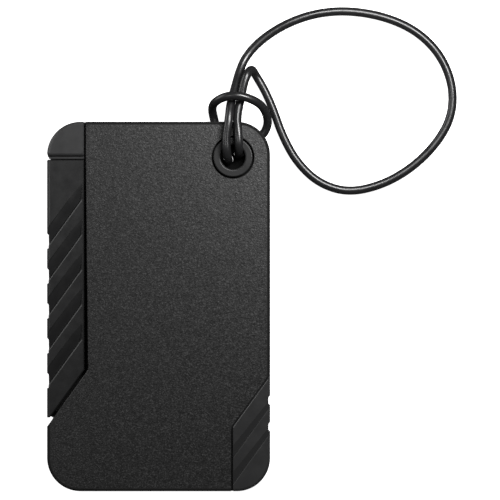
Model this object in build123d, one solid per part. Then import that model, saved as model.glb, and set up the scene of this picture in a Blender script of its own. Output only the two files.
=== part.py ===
"""Luggage tag: a flat plastic case with an address-card tray that slides out of its left side.

Frame: the tag lies on its back.  +X is to the right, +Y up the tag to the eyelet end and +Z out
of the front face.  The origin is the middle of the case on the surface that it lies on.
Millimetres throughout.
"""
import os
from math import atan2, cos, pi, radians, sin, tan

from build123d import *

# ---------------------------------------------------------------- driving dimensions
WIDTH = 67.0
HEIGHT = 111.0
THICKNESS = 7.5
CORNER_RADIUS = 10.0
EDGE_RADIUS = 0.9            # rounding round the front and back faces
SIDE_WALL = 1.5
BACK_WALL = 1.5
FRONT_WALL = 1.6
SEAM_Z = 4.2                 # where the front cover meets the back shell
FIT = 0.05                   # clearance of pegs and tenons that stay put
SLIDE_GAP = 0.5              # clearance of what slides
FAR = 60.0                   # well outside the case, for cutting shapes

DIAGONAL = 54.0              # slope of every slanted seam and rib, degrees from +X
RISE = tan(radians(DIAGONAL))
SLANT = 1 / cos(radians(DIAGONAL))

# Opening in the left side, which the thumb grip fills
CAP_EDGE_Y = 45.05           # lower edge of the corner cap
CHANNEL_TOP_X = -21.85
CHANNEL_LOW_X = -21.15
ELBOW_Y = -19.0              # the channel turns here into the slanted seam
OPENING_BEVEL = 0.2
TOE_NOTCH = ((-34.5, -32.4), (-31.9, -33.9), (-34.5, -37.45))

# Ledges that close the gaps round the grip from behind
SILL_Z = 1.3                 # the back shell's sill, which the grip's edges overlap
SILL_REACH = 1.9             # how far the sill reaches into the opening
SILL_SETBACK = 0.5           # how far a ledge stops short of the outline
LAP_GAP = 0.3                # clearance between the grip and a ledge
CAP_LEDGE_Z = 6.4            # the cap's ledge, between the cap and the grip
CAP_LEDGE_Y = 44.4
CAP_EDGE_ROUND = 1.0

# Thumb grip
GRIP_INNER_X = -22.4
GRIP_TOP_Y = 44.05
GRIP_ELBOW_Y = -19.15
GRIP_TOE_Y = -33.3           # the grip's slanted edge is cut off level here
GRIP_BACK_Z = 0.2
GRIP_EDGE = 0.3              # small rounding on the grip's inner edges
GRIP_GROOVES = 5
GRIP_PITCH = 10.47
GRIP_FIRST_RISER_Y = 32.9    # at the grip's inner edge
GRIP_GROOVE_WIDTH = 2.7      # across the groove, at the grip's inner edge
GRIP_GROOVE_DEPTH = 1.0
GRIP_GROOVE_TILT = 1.2       # degrees, deeper towards the outline
GRIP_GROOVE_BLEND = 0.9      # how softly the ramp meets the flat
GRIP_GROOVE_END = 0.45       # width of the rim left at the grip's inner edge
GRIP_RISER_BEVEL = 0.28
GRIP_RECESS = (-0.4, 4.4)    # the recess in the outline, up from a riser's outer end

# Corner bumper
BUMPER_X = 21.75
BUMPER_ELBOW_Y = -36.1
BUMPER_GAP = 0.55
BUMPER_EDGE = 0.2            # bevel of its edges beside the gap
BUMPER_FACES_Z = (1.5, 5.6)  # between these heights the bumper meets the case
BUMPER_RISERS_Y = (-45.6, -53.55)  # at the bumper's inner edge
BUMPER_GROOVE_WIDTH = 2.4
BUMPER_GROOVE_DEPTH = 0.8
BUMPER_GROOVE_TILT = 1.0
BUMPER_GROOVE_BLEND = 0.2
BUMPER_RISER_BEVEL = 0.15
BUMPER_RECESS = (0.3, 3.5)
TONGUE = 2.4                 # how far the bumper's tongue reaches into the case
TONGUE_Z = 3.2
TONGUE_INSET = 0.8

# Ribs on the grip and the bumper
SIDE_RECESS = 0.5            # how deep the ribs cut into the case's outline
RECESS_SLOPE = 0.6           # fall of the recess's ends
RISER_DRAFT = 10.0           # degrees
GROOVE_RUN = 25.0            # how far a groove's cutter runs each way, past the outline

# Eyelet
EYELET_X = 22.35
EYELET_Y = 44.8
BORE_RADIUS = 3.6
SLEEVE_RADIUS = 4.3
FLANGE_RADIUS = 5.9
FLANGE_SEAT_RADIUS = 6.4
FLANGE_THICKNESS = 1.8
FLANGE_OUTER_ROUND = 0.35
FLANGE_INNER_ROUND = 0.6
BACK_DISC_RADIUS = 6.1
BACK_DISC_THICKNESS = 0.9
BACK_DISC_SEAT = 0.4         # how deep the sleeve sits in the disc
BOSS_RADIUS = 8.0

# Lanes in the back, which take the cord's hidden turns from the eyelet out past the edge
LANES = (((21.0, 44.2), (16.0, 57.8)), ((24.0, 45.8), (34.0, 54.0)))
LANE_RADIUS = 1.9
LANE_DEPTH = 3.1
# short slots in the back disc, one for each strand, that let it start its turn into its lane
STRAND_SLOTS = (((21.0, 44.2), (20.8, 44.7)), ((24.0, 45.9), (24.35, 46.2)))
STRAND_SLOT_RADIUS = 1.35

# Card tray
TRAY_END_X = 21.4
TRAY_LOW_Y = -31.5
TRAY_TOP_Y = 43.0
TRAY_CLIP = 12.3             # the corner clipped to pass the eyelet
TRAY_WAY_X = -15.0           # the tray's way out is cut from here to the left
TRAY_BOTTOM_Z = 1.8
TRAY_FLOOR = 0.8
TRAY_RIM = 1.0
TRAY_TOP_Z = 4.6
TRAY_NECK_X = -20.4          # left of this the tray is low, under the channel
TRAY_NECK_Z = 3.4
TRAY_STOP_WIDTH = 2.4
TRAY_STOP_Y = (0.0, 10.0)
TRAY_STOP_TOP_Z = 5.5
NOTCH_RADIUS = 7.0           # thumb notch for lifting the card
NOTCH_X = 7.4
TENON_DEPTH = 4.4
TENON_LOW_Z = 2.0
TENON_HIGH_Z = 3.2
TENON_LOW_Y = -12.0
TENON_HIGH_Y = 38.0
TRAVEL = 33.0
CARD_THICKNESS = 0.35
WINDOW_THICKNESS = 0.6
INSERT_LEFT_X = -20.9
INSERT_GAP = 0.15

# The front panel's face: a crease beside the opening, with the panel a little lower than it
CREASE_X = -20.6
PANEL_DROP = 0.11
PANEL_START_X = -16.4        # where the hollow beside the crease levels out
STRIP_DROP = 0.3             # fall from the crease to the left edge

# Ribs inside the front cover
HOLD_DOWN_RIBS_Y = (-20.0, 30.0)
HOLD_DOWN_RIBS_X = (-12.0, 14.0)
STOP_RIB_Y = (-2.0, 12.0)
RIB_THICKNESS = 1.0
RIB_GAP = 0.3                # between a rib and the tray
RAIL_X = (-18.0, 6.0)
RAIL_THICKNESS = 1.2

# Posts that join the two halves of the case
POSTS = ((-27.0, -46.0), (12.0, -45.0), (27.5, -10.0), (27.5, 24.0), (-12.0, 49.6))
CAP_PEG = (-27.6, 50.2)
POST_RADIUS = 1.4
POST_BOSS_RADIUS = 2.6
POST_LOW_Z = 2.5
SOCKET_FLOOR_Z = 2.4

# Loop cord: one closed loop, welded end to end inside the eyelet.  It comes up through the
# bore, over the top edge, round the big loop, back over itself in a tight fold, down through
# the bore and round both strands as a hitch.
CORD_DIAMETER = 2.6
CORD_ROUTE = [
    # up through the eyelet and over the top edge, left strand
    (21.0, 44.2, 5.4),
    (21.0, 44.3, 7.8),
    (20.8, 46.3, 9.8),
    (20.5, 50.8, 9.8),
    (21.1, 56.4, 9.9),
    (21.6, 61.0, 7.7),
    (22.9, 66.0, 5.2),
    (24.0, 70.8, 2.7),
    (26.2, 75.6, 1.4),
    # the big loop, clockwise
    (30.8, 80.6, 1.3),
    (38.0, 85.3, 1.3),
    (46.7, 88.5, 1.3),
    (56.5, 89.5, 1.3),
    (67.7, 87.8, 1.3),
    (77.7, 83.5, 1.3),
    (85.1, 76.2, 1.3),
    (88.9, 66.9, 1.3),
    (88.6, 57.6, 1.3),
    (84.3, 49.6, 1.3),
    (76.9, 42.1, 1.3),
    (67.7, 36.7, 1.3),
    (57.2, 34.3, 1.3),
    (48.3, 37.1, 1.3),
    (41.6, 43.5, 1.3),
    (37.3, 51.4, 1.3),
    (34.6, 59.2, 1.3),
    (32.0, 65.2, 1.3),
    # the tight fold, up and back towards the tag
    (29.0, 70.2, 1.3),
    (28.0, 71.6, 3.9),
    (27.0, 70.4, 6.6),
    # right strand, down through the eyelet
    (25.8, 67.3, 7.0),
    (24.75, 62.6, 6.8),
    (23.8, 57.0, 8.5),
    (24.0, 52.2, 9.7),
    (24.1, 48.0, 9.8),
    (24.0, 46.1, 7.7),
    (24.0, 45.9, 5.35),
    (24.0, 45.9, 3.0),
    # under the tag and out past its corner
    (25.3, 46.95, 1.3),
    (28.4, 49.6, 1.3),
    (31.5, 51.9, 1.3),
    (32.9, 54.6, 2.4),
    # over both strands
    (32.6, 57.6, 5.0),
    (30.9, 60.5, 7.9),
    (27.4, 62.3, 10.2),
    (23.6, 63.1, 10.8),
    (20.0, 62.9, 10.0),
    (17.0, 61.5, 7.6),
    (15.9, 59.9, 4.1),
    (16.4, 57.2, 1.4),
    # under the tag again and up into the eyelet
    (17.4, 53.0, 1.3),
    (19.1, 49.3, 1.3),
    (20.4, 45.8, 1.3),
    (21.0, 44.2, 3.0),
    (21.0, 44.2, 5.35),
]


# ---------------------------------------------------------------- helpers
def polygon(*points):
    """A flat face with these corners."""
    return make_face(Polyline(*points, close=True))


def slab(face, low, high):
    """A flat face made solid from one height to another."""
    return extrude(Pos(0, 0, low) * face, high - low)


def block(x0, x1, y0, y1, z0, z1):
    """A box between two corners."""
    corner = (Align.MIN, Align.MIN, Align.MIN)
    return Pos(x0, y0, z0) * Box(x1 - x0, y1 - y0, z1 - z0, align=corner)


def rod(x, y, radius, low, high):
    """An upright cylinder."""
    return slab(Pos(x, y) * Circle(radius), low, high)


def outline(inset=0.0):
    """The case's outline, or one that much inside it."""
    return RectangleRounded(WIDTH - 2 * inset, HEIGHT - 2 * inset, CORNER_RADIUS - inset)


def opening(margin=0.0):
    """The zone of the grip's opening, grown by a margin into the case."""
    end_y = ELBOW_Y - RISE * (FAR + CHANNEL_LOW_X) - margin * SLANT
    return polygon(
        (-FAR, CAP_EDGE_Y + margin),
        (CHANNEL_TOP_X + margin, CAP_EDGE_Y + margin),
        (CHANNEL_LOW_X + margin, ELBOW_Y - margin * (SLANT - RISE)),
        (-FAR, end_y),
    )


def cap_zone(margin=0.0):
    """The zone above the opening where the corner cap sits."""
    right = CHANNEL_TOP_X + margin
    return polygon((-FAR, CAP_EDGE_Y - 1), (right, CAP_EDGE_Y - 1), (right, FAR), (-FAR, FAR))


def bumper_zone(margin=0.0):
    """The zone of the bottom right corner bumper, grown by a margin into the case."""
    left = BUMPER_X - margin
    end_y = BUMPER_ELBOW_Y + RISE * (FAR - BUMPER_X) + margin * SLANT
    return polygon(
        (left, -FAR - 10),
        (left, BUMPER_ELBOW_Y + margin * (SLANT - RISE)),
        (FAR, end_y),
        (FAR, -FAR - 10),
    )


def lane(start, end, radius):
    """A straight lane with round ends about two points."""
    run = Vector(*end) - Vector(*start)
    middle = Vector(*start) + run / 2
    turn = atan2(run.Y, run.X) * 180 / pi
    return Pos(middle.X, middle.Y) * Rot(0, 0, turn) * SlotCenterToCenter(run.length, 2 * radius)


def relief_zone(margin=0.0):
    """The lanes in the back."""
    first, second = (lane(*ends, LANE_RADIUS + margin) for ends in LANES)
    return first + second


def rounded_blank():
    """The whole tag as one block, rounded round its front and back faces."""
    blank = extrude(outline(), THICKNESS)
    faces = blank.faces().sort_by(Axis.Z)
    return fillet(faces[0].edges() + faces[-1].edges(), EDGE_RADIUS)


def rib_groove(x, y, width, depth, tilt, blend, bevel):
    """A slanted scoop: a steep riser, and a ramp that climbs from its foot to the surface.

    x and y are on the riser's top edge, where the scoop has this width and depth.  It gets
    deeper down the diagonal if it is tilted.  The riser's top edge is bevelled.
    """
    slope = radians(DIAGONAL)
    lean = radians(tilt)
    across = Vector(sin(slope), -cos(slope), 0)
    level = Vector(-cos(slope), -sin(slope), 0)
    tilted = level * cos(lean) - Vector(0, 0, sin(lean))
    clear = 3.0
    foot = Vector(-depth * tan(radians(RISER_DRAFT)), -depth)
    top = Vector(-width, 0)
    bend = top + (foot - top).normalized() * blend
    end = top - Vector(blend / 2, 0)
    over = Vector(clear * tan(radians(RISER_DRAFT)), clear)
    back = Vector(-width - clear, clear)
    profile = make_face([
        Line(over, foot),
        Line(foot, bend),
        TangentArc(bend, end, tangent=top - bend),
        Line(end, back),
        Line(back, over),
    ])
    origin = (x, y, THICKNESS)
    scoop_plane = Plane(origin=origin, x_dir=across, z_dir=tilted)
    scoop = extrude(scoop_plane * profile, GROOVE_RUN, both=True)
    corner = polygon((bevel, 0), (-depth * tan(radians(RISER_DRAFT)), -bevel),
                     (-depth * tan(radians(RISER_DRAFT)), clear), (bevel, clear))
    corner_plane = Plane(origin=origin, x_dir=across, z_dir=level)
    return scoop + extrude(corner_plane * corner, GROOVE_RUN, both=True)


def side_recess(edge_x, inward, low_y, high_y):
    """A shallow recess right through the thickness, where a groove reaches the outline."""
    deep = edge_x + inward * SIDE_RECESS
    out = edge_x - inward
    face = polygon((out, high_y + RECESS_SLOPE * 2), (deep, high_y - RECESS_SLOPE),
                   (deep, low_y + RECESS_SLOPE / 2), (out, low_y - RECESS_SLOPE))
    return slab(face, -1, THICKNESS + 1)


# ---------------------------------------------------------------- the case
BLANK = rounded_blank()


def front_cover():
    """The grained front panel with its skirt, cut away for the grip, the cap and the bumper."""
    cover = BLANK & slab(outline() - opening() - cap_zone() - bumper_zone(), SEAM_Z, THICKNESS)
    hollow = outline(SIDE_WALL) - opening(SIDE_WALL) - cap_zone(SIDE_WALL) - bumper_zone(SIDE_WALL)
    hollow -= Pos(EYELET_X, EYELET_Y) * Circle(BOSS_RADIUS)
    inside_z = THICKNESS - FRONT_WALL
    cover -= slab(hollow, SEAM_Z - 1, inside_z)
    cover -= tray_way(SEAM_Z - 1, inside_z)
    cover -= above_panel()
    rim = [edge for edge in cover.edges() if beside_opening(edge.center())]
    cover = chamfer(rim, OPENING_BEVEL)
    cover -= slab(polygon(*TOE_NOTCH), 0, THICKNESS)
    for x, y in POSTS:
        cover += rod(x, y, POST_RADIUS, POST_LOW_Z, inside_z)
    # hold-down ribs over the tray, and the rib that stops it
    rib_z = TRAY_TOP_Z + RIB_GAP
    for y in HOLD_DOWN_RIBS_Y:
        cover += block(*HOLD_DOWN_RIBS_X, y, y + RIB_THICKNESS, rib_z, inside_z)
    stop_x = TRAY_END_X - TRAY_STOP_WIDTH - TRAVEL - SLIDE_GAP
    cover += block(stop_x - RIB_THICKNESS, stop_x, *STOP_RIB_Y, rib_z, inside_z)
    seat_z = THICKNESS - FLANGE_THICKNESS
    cover -= rod(EYELET_X, EYELET_Y, FLANGE_SEAT_RADIUS, seat_z, THICKNESS + 1)
    cover -= rod(EYELET_X, EYELET_Y, SLEEVE_RADIUS + FIT, SEAM_Z - 1, THICKNESS)
    return cover


def tray_way(low, high):
    """The way out through the left side that the tray slides along."""
    return block(-FAR, TRAY_WAY_X, TRAY_LOW_Y - SLIDE_GAP, TRAY_TOP_Y + SLIDE_GAP, low, high)


def above_panel():
    """All that is above the panel's face: a sloping strip, a crease and the level panel."""
    level = THICKNESS - PANEL_DROP
    strip_width = WIDTH / 2 + CREASE_X
    side_z = THICKNESS - STRIP_DROP * (FAR + CREASE_X) / strip_width
    hollow = TangentArc((PANEL_START_X, level), (CREASE_X, THICKNESS), tangent=(-1, 0))
    face = make_face([
        Line((-FAR, side_z), (CREASE_X, THICKNESS)),
        hollow,
        Line((PANEL_START_X, level), (FAR, level)),
        Line((FAR, level), (FAR, THICKNESS + 1)),
        Line((FAR, THICKNESS + 1), (-FAR, THICKNESS + 1)),
        Line((-FAR, THICKNESS + 1), (-FAR, side_z)),
    ])
    return extrude(Plane.XZ * face, FAR, both=True)


def beside_opening(place):
    """Whether an edge with this middle is one of the panel's two edges at the opening."""
    high = place.Z > THICKNESS - STRIP_DROP * 2
    across = 2 - WIDTH / 2 < place.X < CREASE_X - STRIP_DROP
    return high and across and GRIP_TOE_Y - SLIDE_GAP < place.Y < CAP_EDGE_Y


def back_shell():
    """The back wall and its rim, relieved round the eyelet for the cord's turns."""
    shell = BLANK & slab(outline() - opening() - bumper_zone(), 0, SEAM_Z)
    hollow = outline(SIDE_WALL) - opening(SIDE_WALL) - bumper_zone(SIDE_WALL)
    hollow -= relief_zone(SIDE_WALL)
    hollow -= Pos(EYELET_X, EYELET_Y) * Circle(BOSS_RADIUS)
    shell -= slab(hollow, BACK_WALL, SEAM_Z + 1)
    shell -= tray_way(BACK_WALL, SEAM_Z + 1)
    sill = (outline(SILL_SETBACK) & opening(SIDE_WALL)) - opening(-SILL_REACH)
    shell += BLANK & slab(sill, 0, SILL_Z)
    shell -= slab(polygon(*TOE_NOTCH), -1, THICKNESS)
    shell -= slab(relief_zone(), -1, LANE_DEPTH)
    for x, y in (*POSTS, CAP_PEG):
        shell += rod(x, y, POST_BOSS_RADIUS, BACK_WALL, SEAM_Z)
        shell -= rod(x, y, POST_RADIUS + FIT, SOCKET_FLOOR_Z, SEAM_Z + 1)
    # rails that the tray slides between
    for y in (TRAY_LOW_Y - SLIDE_GAP - RAIL_THICKNESS, TRAY_TOP_Y + SLIDE_GAP):
        shell += block(*RAIL_X, y, y + RAIL_THICKNESS, BACK_WALL, SEAM_Z)
    shell -= slab(bumper_zone(TONGUE + FIT) & outline(TONGUE_INSET - FIT), TONGUE_Z, SEAM_Z + 1)
    shell -= rod(EYELET_X, EYELET_Y, SLEEVE_RADIUS + FIT, 0, SEAM_Z + 1)
    shell -= rod(EYELET_X, EYELET_Y, BACK_DISC_RADIUS + FIT, -1, LANE_DEPTH + BACK_DISC_THICKNESS)
    return shell


def corner_cap():
    """The smooth corner above the grip, pegged into the back shell."""
    zone = polygon((-FAR, CAP_EDGE_Y), (GRIP_INNER_X, CAP_EDGE_Y), (GRIP_INNER_X, FAR), (-FAR, FAR))
    cap = BLANK & slab(zone, SEAM_Z, THICKNESS)
    top = cap.faces().sort_by(Axis.Z)[-1]
    lower = top.edges().filter_by(Axis.X).sort_by(Axis.Y)[0]
    cap = fillet(lower, CAP_EDGE_ROUND)
    inner = cap.edges().filter_by(Axis.Y).filter_by(lambda edge: edge.center().Z > THICKNESS - 0.01)
    cap = chamfer(inner.sort_by(Axis.X)[-1], GRIP_EDGE)
    ledge = polygon((-FAR, CAP_LEDGE_Y), (GRIP_INNER_X, CAP_LEDGE_Y), (GRIP_INNER_X, CAP_EDGE_Y + 1),
                    (-FAR, CAP_EDGE_Y + 1))
    cap += BLANK & slab(ledge & outline(SILL_SETBACK), SEAM_Z, CAP_LEDGE_Z)
    return cap + rod(*CAP_PEG, POST_RADIUS, POST_LOW_Z, SEAM_Z)


def corner_bumper():
    """The ribbed corner at the bottom right, held by a tongue between the two shells."""
    bumper = BLANK & slab(bumper_zone(-BUMPER_GAP), 0, THICKNESS)
    top = bumper.faces().sort_by(Axis.Z)[-1]
    middle = Vector(BUMPER_X, BUMPER_ELBOW_Y, THICKNESS)
    beside_gap = sorted(top.edges(), key=lambda edge: edge.distance_to(middle))[:2]
    bumper = chamfer(beside_gap, BUMPER_EDGE)
    bumper += BLANK & slab(bumper_zone(), *BUMPER_FACES_Z)
    inner_x = BUMPER_X + BUMPER_GAP
    for riser_y in BUMPER_RISERS_Y:
        bumper -= rib_groove(inner_x, riser_y, BUMPER_GROOVE_WIDTH, BUMPER_GROOVE_DEPTH,
                             BUMPER_GROOVE_TILT, BUMPER_GROOVE_BLEND, BUMPER_RISER_BEVEL)
        edge_y = riser_y + RISE * (WIDTH / 2 - inner_x)
        low, high = BUMPER_RECESS
        bumper -= side_recess(WIDTH / 2, -1, edge_y + low, edge_y + high)
    return bumper + slab(bumper_zone(TONGUE) & outline(TONGUE_INSET), TONGUE_Z + FIT, SEAM_Z)


# ---------------------------------------------------------------- the eyelet
def eyelet_front():
    """The flanged sleeve, rounded where the cord runs over it."""
    top = THICKNESS - 0.05
    seat = THICKNESS - FLANGE_THICKNESS
    low = LANE_DEPTH + BACK_DISC_THICKNESS - BACK_DISC_SEAT
    outer = FLANGE_RADIUS - FLANGE_OUTER_ROUND
    inner = BORE_RADIUS + FLANGE_INNER_ROUND
    profile = make_face([
        Line((BORE_RADIUS, low), (SLEEVE_RADIUS, low)),
        Line((SLEEVE_RADIUS, low), (SLEEVE_RADIUS, seat)),
        Line((SLEEVE_RADIUS, seat), (FLANGE_RADIUS, seat)),
        Line((FLANGE_RADIUS, seat), (FLANGE_RADIUS, top - FLANGE_OUTER_ROUND)),
        TangentArc((FLANGE_RADIUS, top - FLANGE_OUTER_ROUND), (outer, top), tangent=(0, 1)),
        Line((outer, top), (inner, top)),
        TangentArc((inner, top), (BORE_RADIUS, top - FLANGE_INNER_ROUND), tangent=(-1, 0)),
        Line((BORE_RADIUS, top - FLANGE_INNER_ROUND), (BORE_RADIUS, low)),
    ])
    return Pos(EYELET_X, EYELET_Y) * revolve(Plane.XZ * profile, Axis.Z)


def eyelet_back():
    """The disc that the sleeve is pressed into, with a short slot for each of two strands."""
    top = LANE_DEPTH + BACK_DISC_THICKNESS
    disc = rod(EYELET_X, EYELET_Y, BACK_DISC_RADIUS, LANE_DEPTH, top)
    disc -= rod(EYELET_X, EYELET_Y, SLEEVE_RADIUS + FIT, top - BACK_DISC_SEAT, top + 1)
    for ends in STRAND_SLOTS:
        disc -= slab(lane(*ends, STRAND_SLOT_RADIUS), LANE_DEPTH - 1, top + 1)
    lower = disc.faces().sort_by(Axis.Z)[0]
    return fillet(lower.edges(), 0.2)


# ---------------------------------------------------------------- the tray
def tray_plan(inset=0.0):
    """The tray's plan, with one corner clipped and one following the grip."""
    low = TRAY_LOW_Y + inset
    toe_x = GRIP_INNER_X - (GRIP_ELBOW_Y - low) / RISE
    end = TRAY_END_X - inset
    top = TRAY_TOP_Y - inset
    clip = TRAY_CLIP - inset * 0.6
    if inset:
        return polygon((GRIP_INNER_X + inset, low), (end, low), (end, top - clip),
                       (end - clip, top), (GRIP_INNER_X + inset, top))
    return polygon((toe_x, low), (end, low), (end, top - clip), (end - clip, top),
                   (GRIP_INNER_X, top), (GRIP_INNER_X, GRIP_ELBOW_Y))


def tenon(grow=0.0):
    """The tongue that joins the tray to the grip."""
    return block(GRIP_INNER_X - TENON_DEPTH - grow, GRIP_INNER_X, TENON_LOW_Y - grow,
                 TENON_HIGH_Y + grow, TENON_LOW_Z - grow, TENON_HIGH_Z + grow)


def card_tray():
    """A shallow tray for the address card, with a stop at its inner end."""
    tray = slab(tray_plan(), TRAY_BOTTOM_Z, TRAY_TOP_Z)
    tray -= slab(tray_plan(TRAY_RIM), TRAY_BOTTOM_Z + TRAY_FLOOR, TRAY_TOP_Z + 1)
    tray -= block(-FAR, TRAY_NECK_X, -FAR, FAR, TRAY_NECK_Z, THICKNESS)
    tray += block(TRAY_END_X - TRAY_STOP_WIDTH, TRAY_END_X, *TRAY_STOP_Y, TRAY_BOTTOM_Z,
                  TRAY_STOP_TOP_Z)
    tray += tenon()
    return tray - rod(NOTCH_X, TRAY_LOW_Y, NOTCH_RADIUS, TRAY_BOTTOM_Z - 1, TRAY_TOP_Z + 1)


def tray_insert(low, high):
    """A flat sheet that fits in the tray, clear of its stop."""
    sheet = slab(tray_plan(TRAY_RIM + INSERT_GAP), low, high)
    sheet -= block(-FAR, INSERT_LEFT_X, -FAR, FAR, 0, THICKNESS)
    return sheet - block(TRAY_END_X - TRAY_STOP_WIDTH - INSERT_GAP, FAR,
                         TRAY_STOP_Y[0] - INSERT_GAP, TRAY_STOP_Y[1] + INSERT_GAP, 0, THICKNESS)


def address_card():
    """The paper card."""
    low = TRAY_BOTTOM_Z + TRAY_FLOOR
    return tray_insert(low, low + CARD_THICKNESS)


def card_window():
    """The clear sheet over the card."""
    low = TRAY_BOTTOM_Z + TRAY_FLOOR + CARD_THICKNESS
    return tray_insert(low, low + WINDOW_THICKNESS)


def thumb_grip():
    """The ribbed strip that the tray is pulled out by."""
    toe_x = GRIP_INNER_X - (GRIP_ELBOW_Y - GRIP_TOE_Y) / RISE
    zone = polygon((-FAR, GRIP_TOP_Y), (GRIP_INNER_X, GRIP_TOP_Y), (GRIP_INNER_X, GRIP_ELBOW_Y),
                   (toe_x, GRIP_TOE_Y), (-FAR, GRIP_TOE_Y))
    grip = BLANK & slab(zone, GRIP_BACK_Z, THICKNESS)
    top = grip.faces().sort_by(Axis.Z)[-1]
    inner = [e for e in top.edges() if e.center().X > -WIDTH / 2 + 2]
    grip = chamfer(inner, GRIP_EDGE)
    rim = GRIP_INNER_X - GRIP_GROOVE_END
    inside_rim = extrude(Plane.XZ * polygon((-FAR, 0), (rim - THICKNESS, 0), (rim + 1, THICKNESS + 1),
                                            (-FAR, THICKNESS + 1)), FAR, both=True)
    for step in range(GRIP_GROOVES):
        riser_y = GRIP_FIRST_RISER_Y - step * GRIP_PITCH
        grip -= inside_rim & rib_groove(GRIP_INNER_X, riser_y, GRIP_GROOVE_WIDTH,
                                        GRIP_GROOVE_DEPTH, GRIP_GROOVE_TILT, GRIP_GROOVE_BLEND,
                                        GRIP_RISER_BEVEL)
        edge_y = riser_y - RISE * (WIDTH / 2 + GRIP_INNER_X)
        low, high = GRIP_RECESS
        grip -= side_recess(-WIDTH / 2, 1, edge_y + low, edge_y + high)
    grip -= slab(outline(-1) - opening(-SILL_REACH - LAP_GAP), 0, SILL_Z + LAP_GAP)
    return grip - tenon(FIT)


# ---------------------------------------------------------------- the cord
def corner_radii(route):
    """For each corner of a route, 0.45 of its shorter run over the tangent of half its turn."""
    points = [Vector(*point) for point in route]
    radii = []
    for before, corner, after in zip(points, points[1:], points[2:]):
        arriving = corner - before
        leaving = after - corner
        half_turn = radians(arriving.get_angle(leaving)) / 2
        radii.append(0.45 * min(arriving.length, leaving.length) / tan(half_turn))
    return radii


def loop_cord():
    """The cord as a plain tube along its whole route."""
    radii = corner_radii(CORD_ROUTE)
    path = FilletPolyline(*CORD_ROUTE, radius=radii)
    section = Plane(origin=path @ 0, z_dir=path % 0) * Circle(CORD_DIAMETER / 2)
    tube = sweep(section, path)
    expected = path.length * pi * (CORD_DIAMETER / 2) ** 2
    print("cord radii", [round(radius, 1) for radius in radii])
    print(f"cord length {path.length:.1f}, volume {tube.volume:.1f}, expected {expected:.1f}")
    return tube


# ---------------------------------------------------------------- export
PIECES = {
    "front_cover": front_cover,
    "back_shell": back_shell,
    "corner_cap": corner_cap,
    "corner_bumper": corner_bumper,
    "eyelet_front": eyelet_front,
    "eyelet_back": eyelet_back,
    "card_tray": card_tray,
    "address_card": address_card,
    "card_window": card_window,
    "thumb_grip": thumb_grip,
    "loop_cord": loop_cord,
}

os.makedirs("parts", exist_ok=True)
for name, make in PIECES.items():
    export_step(make(), f"parts/{name}.step")
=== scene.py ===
"""Looks for the luggage tag: camera, cord, materials, floor and lights, in metres."""

import bpy
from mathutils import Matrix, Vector


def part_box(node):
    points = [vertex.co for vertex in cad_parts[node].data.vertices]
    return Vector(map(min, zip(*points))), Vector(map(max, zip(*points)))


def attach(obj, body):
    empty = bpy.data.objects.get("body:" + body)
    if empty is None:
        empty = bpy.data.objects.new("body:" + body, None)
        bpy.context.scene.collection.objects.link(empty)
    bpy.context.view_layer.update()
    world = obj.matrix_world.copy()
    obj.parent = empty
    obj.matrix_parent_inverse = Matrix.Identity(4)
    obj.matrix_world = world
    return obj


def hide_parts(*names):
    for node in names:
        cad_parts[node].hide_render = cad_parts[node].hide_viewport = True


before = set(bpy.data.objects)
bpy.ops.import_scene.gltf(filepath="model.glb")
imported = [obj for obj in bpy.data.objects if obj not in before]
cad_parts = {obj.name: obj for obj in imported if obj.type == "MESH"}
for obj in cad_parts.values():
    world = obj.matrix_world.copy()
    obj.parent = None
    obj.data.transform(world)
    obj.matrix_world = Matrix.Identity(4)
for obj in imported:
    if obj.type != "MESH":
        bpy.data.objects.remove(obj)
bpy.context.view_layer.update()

MM = 0.001

# ---------------------------------------------------------------- the view
VIEW_WIDTH = 150 * MM          # how much of the front face's plane the camera sees
VIEW_CENTRE = (27.45 * MM, 16.95 * MM)
CAMERA_DISTANCE = 700 * MM     # above the front face
SENSOR_WIDTH = 36.0            # camera units, millimetres of sensor
NEAR_CLIP = 10 * MM
FAR_CLIP = 20.0

# ---------------------------------------------------------------- the light
FLOOR_SIZE = 4.0
FLOOR_GLOW = 1.0
FLOOR_GAP = 0.05 * MM          # keeps the floor off the faces that lie on it
SKY = 0.05
# name, place, target and size in metres, power in watts
SOFT_BOXES = [
    ("key", (-0.25, 0.08, 0.50), (0.0, 0.05, 0.0), (0.07, 0.16), 0.3),
    ("near", (0.09, 0.125, 0.17), (0.02, 0.04, 0.0), (0.12, 0.05), 0.65),
    ("left_low", (-0.60, 0.30, 0.16), (0.0, 0.0, 0.0), (0.5, 0.2), 1.5),
]

# ---------------------------------------------------------------- the tag's outline
TAG_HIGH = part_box("front_cover")[1]    # the tag is centred on the origin
TAG_CORNER = 10.0 * MM
RIM_WIDTH = 1.2 * MM           # the band round the front face, made matt and painted black as painted shade
RIM_FADE = 0.4 * MM
SEAT_RADIUS = 6.4 * MM         # the eyelet's seat, made matt and painted black as painted shade in its ring gap
SEAT_FADE = 0.3 * MM

# ---------------------------------------------------------------- the surfaces
GRAIN_SIZE = 0.36 * MM         # spark-eroded grain of the front and the back
GRAIN_DEPTH = 0.07 * MM
GLOSS_PATCH = 0.6 * MM         # size of its shiny and dull spots
MOULDED_PATCH = 3 * MM         # slow change of gloss on the smooth mouldings
MOULDED_SHINIER = 0.05         # how far their roughness falls below its mean
MOULDED_DULLER = 0.06          # and rises above it
DIMPLE_SIZE = 0.8 * MM
DIMPLE_DEPTH = 0.012 * MM
VINYL_PATCH = 4 * MM           # slow change of gloss along the cord
VINYL_WAVE = 2.5 * MM
VINYL_WAVE_DEPTH = 0.006 * MM
PAPER_FIBRE = 0.3 * MM
PAPER_DEPTH = 0.01 * MM
WINDOW_WAVE = 9 * MM
WINDOW_WAVE_DEPTH = 0.02 * MM
WINDOW_ALPHA = 0.14            # how much of the card the window hides
ACRYLIC_IOR = 1.49
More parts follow.
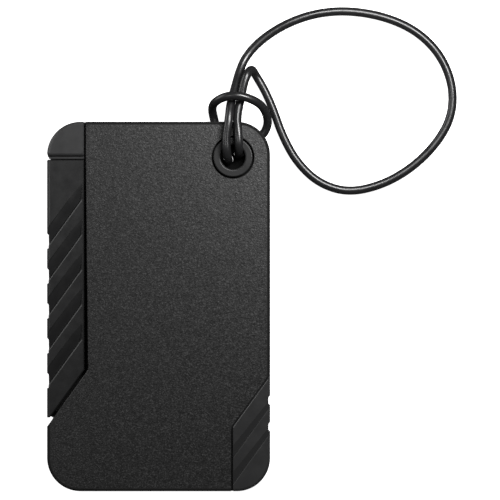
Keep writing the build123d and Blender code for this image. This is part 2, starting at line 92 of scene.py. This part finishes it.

# noise value and the grey or the roughness that it gives
# the palest grey is a painted glint on the grain's tops
GRAIN_AND_GLINT_GREYS = [(0.35, 0.007), (0.55, 0.011), (0.72, 0.045)]
GRAIN_ROUGHNESS = [(0.35, 0.34), (0.65, 0.5)]
VINYL_ROUGHNESS = [(0.3, 0.23), (0.7, 0.35)]

# linear colours
GRAINED_BLACK = (0.009, 0.009, 0.0095)
CAP_BLACK = (0.028, 0.028, 0.0284)
BUMPER_BLACK = (0.024, 0.024, 0.0244)
GRIP_BLACK = (0.011, 0.011, 0.0112)
EYELET_BLACK = (0.012, 0.012, 0.0122)
# the tray is painted darker than the other plastics, as painted shade in the channel and gaps over it
TRAY_SHADE_BLACK = (0.005, 0.005, 0.005)
# the back disc is painted nearly black, as painted shade at the bottom of the eyelet's bore
DISC_SHADE_BLACK = (0.002, 0.002, 0.002)
VINYL_BLACK = (0.01, 0.01, 0.0105)
CARD_WHITE = (0.82, 0.81, 0.78)
WINDOW_CLEAR = (0.9, 0.92, 0.93)
FLOOR_WHITE = (0.9, 0.9, 0.9)

# directions for the shaders' vectors
ZERO = (0, 0, 0)
UP = (0, 0, 1)
FLAT = (1, 1, 0)

# ---------------------------------------------------------------- the cord
CORD_DIAMETER = 2.6 * MM
CORD_STEPS = 12                # mesh steps along the cord to a point of its route
CORD_ROUNDNESS = 6
# the loop's course in metres, from its weld inside the bore and back to it
CORD_ROUTE = [
    # up through the eyelet and over the top edge, left strand
    (0.021, 0.044, 0.0054),
    (0.0209, 0.0442, 0.0078),
    (0.0205, 0.0463, 0.0098),
    (0.0203, 0.0508, 0.0098),
    (0.0212, 0.0564, 0.0099),
    (0.0216, 0.061, 0.0077),
    (0.023, 0.066, 0.0052),
    (0.0242, 0.0708, 0.0027),
    (0.0262, 0.0756, 0.0014),
    # the big loop, clockwise
    (0.0308, 0.0806, 0.0013),
    (0.038, 0.0853, 0.0013),
    (0.0467, 0.0885, 0.0013),
    (0.0565, 0.0895, 0.0013),
    (0.0677, 0.0878, 0.0013),
    (0.0777, 0.0835, 0.0013),
    (0.0851, 0.0762, 0.0013),
    (0.0889, 0.0669, 0.0013),
    (0.0886, 0.0576, 0.0013),
    (0.0843, 0.0496, 0.0013),
    (0.0769, 0.0421, 0.0013),
    (0.0677, 0.0367, 0.0013),
    (0.0572, 0.0343, 0.0013),
    (0.0483, 0.0371, 0.0013),
    (0.0416, 0.0435, 0.0013),
    (0.0373, 0.0514, 0.0013),
    (0.0346, 0.0592, 0.0013),
    (0.032, 0.0652, 0.0013),
    # the tight fold, up and back towards the tag
    (0.029, 0.0702, 0.0013),
    (0.028, 0.0716, 0.0039),
    (0.0268, 0.0703, 0.0066),
    # right strand, down through the eyelet
    (0.02565, 0.0673, 0.007),
    (0.02475, 0.0626, 0.0068),
    (0.02345, 0.057, 0.0084),
    (0.024, 0.0522, 0.0097),
    (0.0241, 0.048, 0.0098),
    (0.024, 0.0461, 0.0077),
    (0.024, 0.0457, 0.00535),
    (0.024, 0.0457, 0.003),
    # under the tag and out past its corner
    (0.0253, 0.04695, 0.0013),
    (0.0284, 0.0496, 0.0013),
    (0.0315, 0.0519, 0.0013),
    (0.0329, 0.0546, 0.0024),
    # over both strands
    (0.0326, 0.0576, 0.005),
    (0.0309, 0.0605, 0.0079),
    (0.0274, 0.0623, 0.0102),
    (0.0236, 0.0631, 0.0108),
    (0.02, 0.0629, 0.01),
    (0.017, 0.0615, 0.0076),
    (0.0159, 0.0599, 0.0041),
    (0.0164, 0.0572, 0.0014),
    # under the tag again and up into the eyelet
    (0.0174, 0.053, 0.0013),
    (0.0191, 0.0493, 0.0013),
    (0.0204, 0.0458, 0.0013),
    (0.021, 0.044, 0.003),
    (0.021, 0.044, 0.00535),
]


def make_camera():
    """A long lens straight above the tag."""
    data = bpy.data.cameras.new("camera")
    camera = bpy.data.objects.new("camera", data)
    bpy.context.scene.collection.objects.link(camera)
    camera.location = (*VIEW_CENTRE, TAG_HIGH.z + CAMERA_DISTANCE)
    data.sensor_width = SENSOR_WIDTH
    data.lens = SENSOR_WIDTH * CAMERA_DISTANCE / VIEW_WIDTH
    data.clip_start = NEAR_CLIP
    data.clip_end = FAR_CLIP
    bpy.context.scene.camera = camera


def make_cord(material):
    """The loop cord as one smooth round tube."""
    curve = bpy.data.curves.new("loop_cord_line", "CURVE")
    curve.dimensions = "3D"
    curve.resolution_u = CORD_STEPS
    curve.bevel_depth = CORD_DIAMETER / 2
    curve.bevel_resolution = CORD_ROUNDNESS
    curve.use_fill_caps = True
    spline = curve.splines.new("NURBS")
    spline.points.add(len(CORD_ROUTE) - 1)
    for point, place in zip(spline.points, CORD_ROUTE):
        point.co = (*place, 1)
    spline.order_u = 3
    spline.use_endpoint_u = True
    cord = bpy.data.objects.new("vinyl_loop_cord", curve)
    bpy.context.scene.collection.objects.link(cord)
    curve.materials.append(material)
    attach(cord, "case")
    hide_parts("loop_cord")


# ---------------------------------------------------------------- materials
class Shader:
    """One node material, built a node at a time around its Principled shader.

    The colour and the roughness given here hold wherever nothing is linked to them.
    """

    def __init__(self, name, color, roughness):
        self.material = bpy.data.materials.new(name)
        self.material.use_nodes = True
        self.tree = self.material.node_tree
        self.surface = self.tree.nodes["Principled BSDF"]
        self.set("Base Color", (*color, 1))
        self.set("Roughness", roughness)
        self.place = self.tree.nodes.new("ShaderNodeTexCoord").outputs["Object"]

    def set(self, name, value):
        """Feeds one input of the Principled shader."""
        self.feed(self.surface.inputs[name], value)

    def feed(self, socket, value):
        """Links another node's output to an input, or sets the input to a plain value."""
        if isinstance(value, bpy.types.NodeSocket):
            self.tree.links.new(value, socket)
        else:
            socket.default_value = value

    def node(self, kind, **inputs):
        """A node whose named inputs are fed; an underscore stands for a space."""
        made = self.tree.nodes.new(kind)
        for key, value in inputs.items():
            self.feed(made.inputs[key.replace("_", " ")], value)
        return made

    def noise(self, size, detail):
        """Noise whose features are about this size in metres, with that many finer octaves."""
        made = self.node("ShaderNodeTexNoise", Vector=self.place, Scale=1 / size, Detail=detail)
        return made.outputs["Fac"]

    def ramp(self, value, stops):
        """A colour ramp through (position, grey) stops."""
        made = self.node("ShaderNodeValToRGB", Fac=value)
        ramp = made.color_ramp
        while len(ramp.elements) > 1:
            ramp.elements.remove(ramp.elements[-1])
        ramp.elements[0].position = stops[0][0]
        for position, _ in stops[1:]:
            ramp.elements.new(position)
        for element, (_, grey) in zip(ramp.elements, stops):
            element.color = (grey, grey, grey, 1)
        return made.outputs["Color"]

    def combine(self, kind, operation, first, second):
        """A node that joins two values by one operation."""
        made = self.tree.nodes.new(kind)
        made.operation = operation
        self.feed(made.inputs[0], first)
        self.feed(made.inputs[1], second)
        return made

    def vector(self, operation, first, second=ZERO):
        """The result of one operation on vectors: a number for LENGTH and DOT_PRODUCT."""
        made = self.combine("ShaderNodeVectorMath", operation, first, second)
        return made.outputs["Value" if operation in ("LENGTH", "DOT_PRODUCT") else "Vector"]

    def math(self, operation, first, second):
        """The result of one operation on numbers."""
        return self.combine("ShaderNodeMath", operation, first, second).outputs["Value"]

    def rise(self, value, start, width):
        """0 up to the start, then rising to 1 over the width."""
        made = self.node("ShaderNodeMapRange", Value=value, From_Min=start, From_Max=start + width)
        return made.outputs["Result"]

    def bump(self, height, depth):
        """The normal of a relief that follows the height value and is that deep in metres."""
        made = self.node("ShaderNodeBump", Height=height, Distance=depth, Strength=1.0)
        return made.outputs["Normal"]


def tag_rim(shader):
    """1 along the front face's rim, where the painted shade goes, and 0 on the rest of the face and
    lower down the sides.
    """
    beyond_any_height = 1.0
    core = (TAG_HIGH.x - TAG_CORNER, TAG_HIGH.y - TAG_CORNER, beyond_any_height)
    outside = shader.vector("SUBTRACT", shader.vector("ABSOLUTE", shader.place), core)
    reach = shader.vector("LENGTH", shader.vector("MAXIMUM", outside, ZERO))
    height = shader.vector("DOT_PRODUCT", shader.place, UP)
    beyond = shader.rise(reach, TAG_CORNER - RIM_WIDTH, RIM_FADE)
    above = shader.rise(height, TAG_HIGH.z - RIM_WIDTH, RIM_FADE)
    return shader.math("MINIMUM", beyond, above)


def eyelet_seat(shader):
    """1 in the eyelet's seat and on its edge, right through the tag, where the painted shade goes,
    and 0 outside it.
    """
    low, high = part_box("eyelet_front")
    middle = ((low.x + high.x) / 2, (low.y + high.y) / 2, 0)
    across = shader.vector("MULTIPLY", shader.vector("SUBTRACT", shader.place, middle), FLAT)
    outside = shader.rise(shader.vector("LENGTH", across), SEAT_RADIUS, SEAT_FADE)
    return shader.math("SUBTRACT", 1.0, outside)


def grained_plastic():
    """Moulded plastic with a fine spark-eroded grain whose paler tops are partly painted glints, and
    with a rim and an eyelet seat that are matt and painted black as painted shade.
    """
    shader = Shader("grained_plastic", GRAINED_BLACK, roughness=0.42)
    # 1 on the rim and in the eyelet seat, which are made matt and painted black as painted shade
    matt_and_painted_shade = shader.math("MAXIMUM", tag_rim(shader), eyelet_seat(shader))
    grain = shader.noise(GRAIN_SIZE, detail=1.0)

    # the tops of the grain are painted paler than its valleys: partly the grain's own tone, partly
    # painted glints
    grain_and_glint_specks = shader.ramp(grain, GRAIN_AND_GLINT_GREYS)
    # no colour on the rim and in the eyelet seat: the painted shade
    outside_painted_shade = shader.math("SUBTRACT", 1.0, matt_and_painted_shade)
    shader.set("Base Color", shader.vector("MULTIPLY", grain_and_glint_specks, outside_painted_shade))

    patches = shader.ramp(shader.noise(GLOSS_PATCH, detail=1.0), GRAIN_ROUGHNESS)
    shader.set("Roughness", shader.math("MAXIMUM", patches, matt_and_painted_shade))

    shader.set("Normal", shader.bump(grain, GRAIN_DEPTH))
    return shader.material


def smooth_plastic(name, color, roughness, specular=0.5):
    """Plain satin moulding with a trace of unevenness."""
    shader = Shader(name, color, roughness)
    shader.set("Specular IOR Level", specular)
    spread = [(0.3, roughness - MOULDED_SHINIER), (0.7, roughness + MOULDED_DULLER)]
    shader.set("Roughness", shader.ramp(shader.noise(MOULDED_PATCH, detail=4.0), spread))
    dimples = shader.noise(DIMPLE_SIZE, detail=3.0)
    shader.set("Normal", shader.bump(dimples, DIMPLE_DEPTH))
    return shader.material


def vinyl():
    """Black vinyl, half glossy, with shinier and duller stretches."""
    shader = Shader("glossy_vinyl", VINYL_BLACK, roughness=0.3)
    shader.set("Roughness", shader.ramp(shader.noise(VINYL_PATCH, detail=3.0), VINYL_ROUGHNESS))
    waves = shader.noise(VINYL_WAVE, detail=1.0)
    shader.set("Normal", shader.bump(waves, VINYL_WAVE_DEPTH))
    return shader.material


def card_paper():
    """Pale card with a trace of fibre."""
    shader = Shader("card_paper", CARD_WHITE, roughness=0.8)
    fibres = shader.noise(PAPER_FIBRE, detail=3.0)
    shader.set("Normal", shader.bump(fibres, PAPER_DEPTH))
    return shader.material


def clear_plastic():
    """The window, as a thin clear sheet that lets light down to the card."""
    shader = Shader("clear_plastic", WINDOW_CLEAR, roughness=0.08)
    shader.set("Alpha", WINDOW_ALPHA)
    shader.set("IOR", ACRYLIC_IOR)
    waves = shader.noise(WINDOW_WAVE, detail=1.0)
    shader.set("Normal", shader.bump(waves, WINDOW_WAVE_DEPTH))
    return shader.material


def dress(node, material):
    """Gives a CAD node its material."""
    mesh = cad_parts[node].data
    mesh.materials.clear()
    mesh.materials.append(material)


# ---------------------------------------------------------------- floor and lights
def make_floor():
    """A white table that glows, so that no shadow shows on it and no gloss mirrors it."""
    bpy.ops.mesh.primitive_plane_add(size=FLOOR_SIZE, location=(0, 0, -FLOOR_GAP))
    floor = bpy.context.object
    floor.name = "floor"
    shader = Shader("floor_paper", FLOOR_WHITE, roughness=0.9)
    shader.set("Emission Color", (1, 1, 1, 1))
    shader.set("Emission Strength", FLOOR_GLOW)
    floor.data.materials.append(shader.material)
    floor.visible_glossy = False


def area_light(name, place, target, size, power):
    """A rectangular soft box aimed at a point, which the camera doesn't see."""
    data = bpy.data.lights.new(name, "AREA")
    data.shape = "RECTANGLE"
    data.size, data.size_y = size
    data.energy = power
    light = bpy.data.objects.new(name, data)
    light.visible_camera = False
    bpy.context.scene.collection.objects.link(light)
    light.location = place
    direction = Vector(target) - Vector(place)
    light.rotation_euler = direction.to_track_quat("-Z", "Y").to_euler()


def make_world():
    """A dim even sky."""
    world = bpy.data.worlds.new("studio")
    bpy.context.scene.world = world
    world.use_nodes = True
    background = world.node_tree.nodes["Background"]
    background.inputs["Color"].default_value = (SKY, SKY, SKY, 1)


def make_lights():
    """A small key box, one close beyond the tag's top right corner and a wide one low on the left."""
    for name, place, target, size, power in SOFT_BOXES:
        area_light(name, place, target, size, power)


bpy.context.scene.view_settings.view_transform = "Standard"
make_camera()
make_cord(vinyl())

GRAINED = grained_plastic()
dress("front_cover", GRAINED)
dress("back_shell", GRAINED)
dress("corner_cap", smooth_plastic("cap_plastic", CAP_BLACK, roughness=0.34))
dress("corner_bumper", smooth_plastic("satin_plastic", BUMPER_BLACK, roughness=0.34))
dress("thumb_grip", smooth_plastic("satin_rubber", GRIP_BLACK, roughness=0.34))
dress("eyelet_front", smooth_plastic("eyelet_plastic", EYELET_BLACK, roughness=0.42, specular=0.3))
# the disc's nearly black colour is painted shade in the bore
dress("eyelet_back", smooth_plastic("disc_plastic", DISC_SHADE_BLACK, roughness=0.7, specular=0.05))
# the tray's near black colour is painted shade
dress("card_tray", smooth_plastic("tray_plastic", TRAY_SHADE_BLACK, roughness=0.6, specular=0.3))
dress("address_card", card_paper())
dress("card_window", clear_plastic())

make_floor()
make_world()
make_lights()
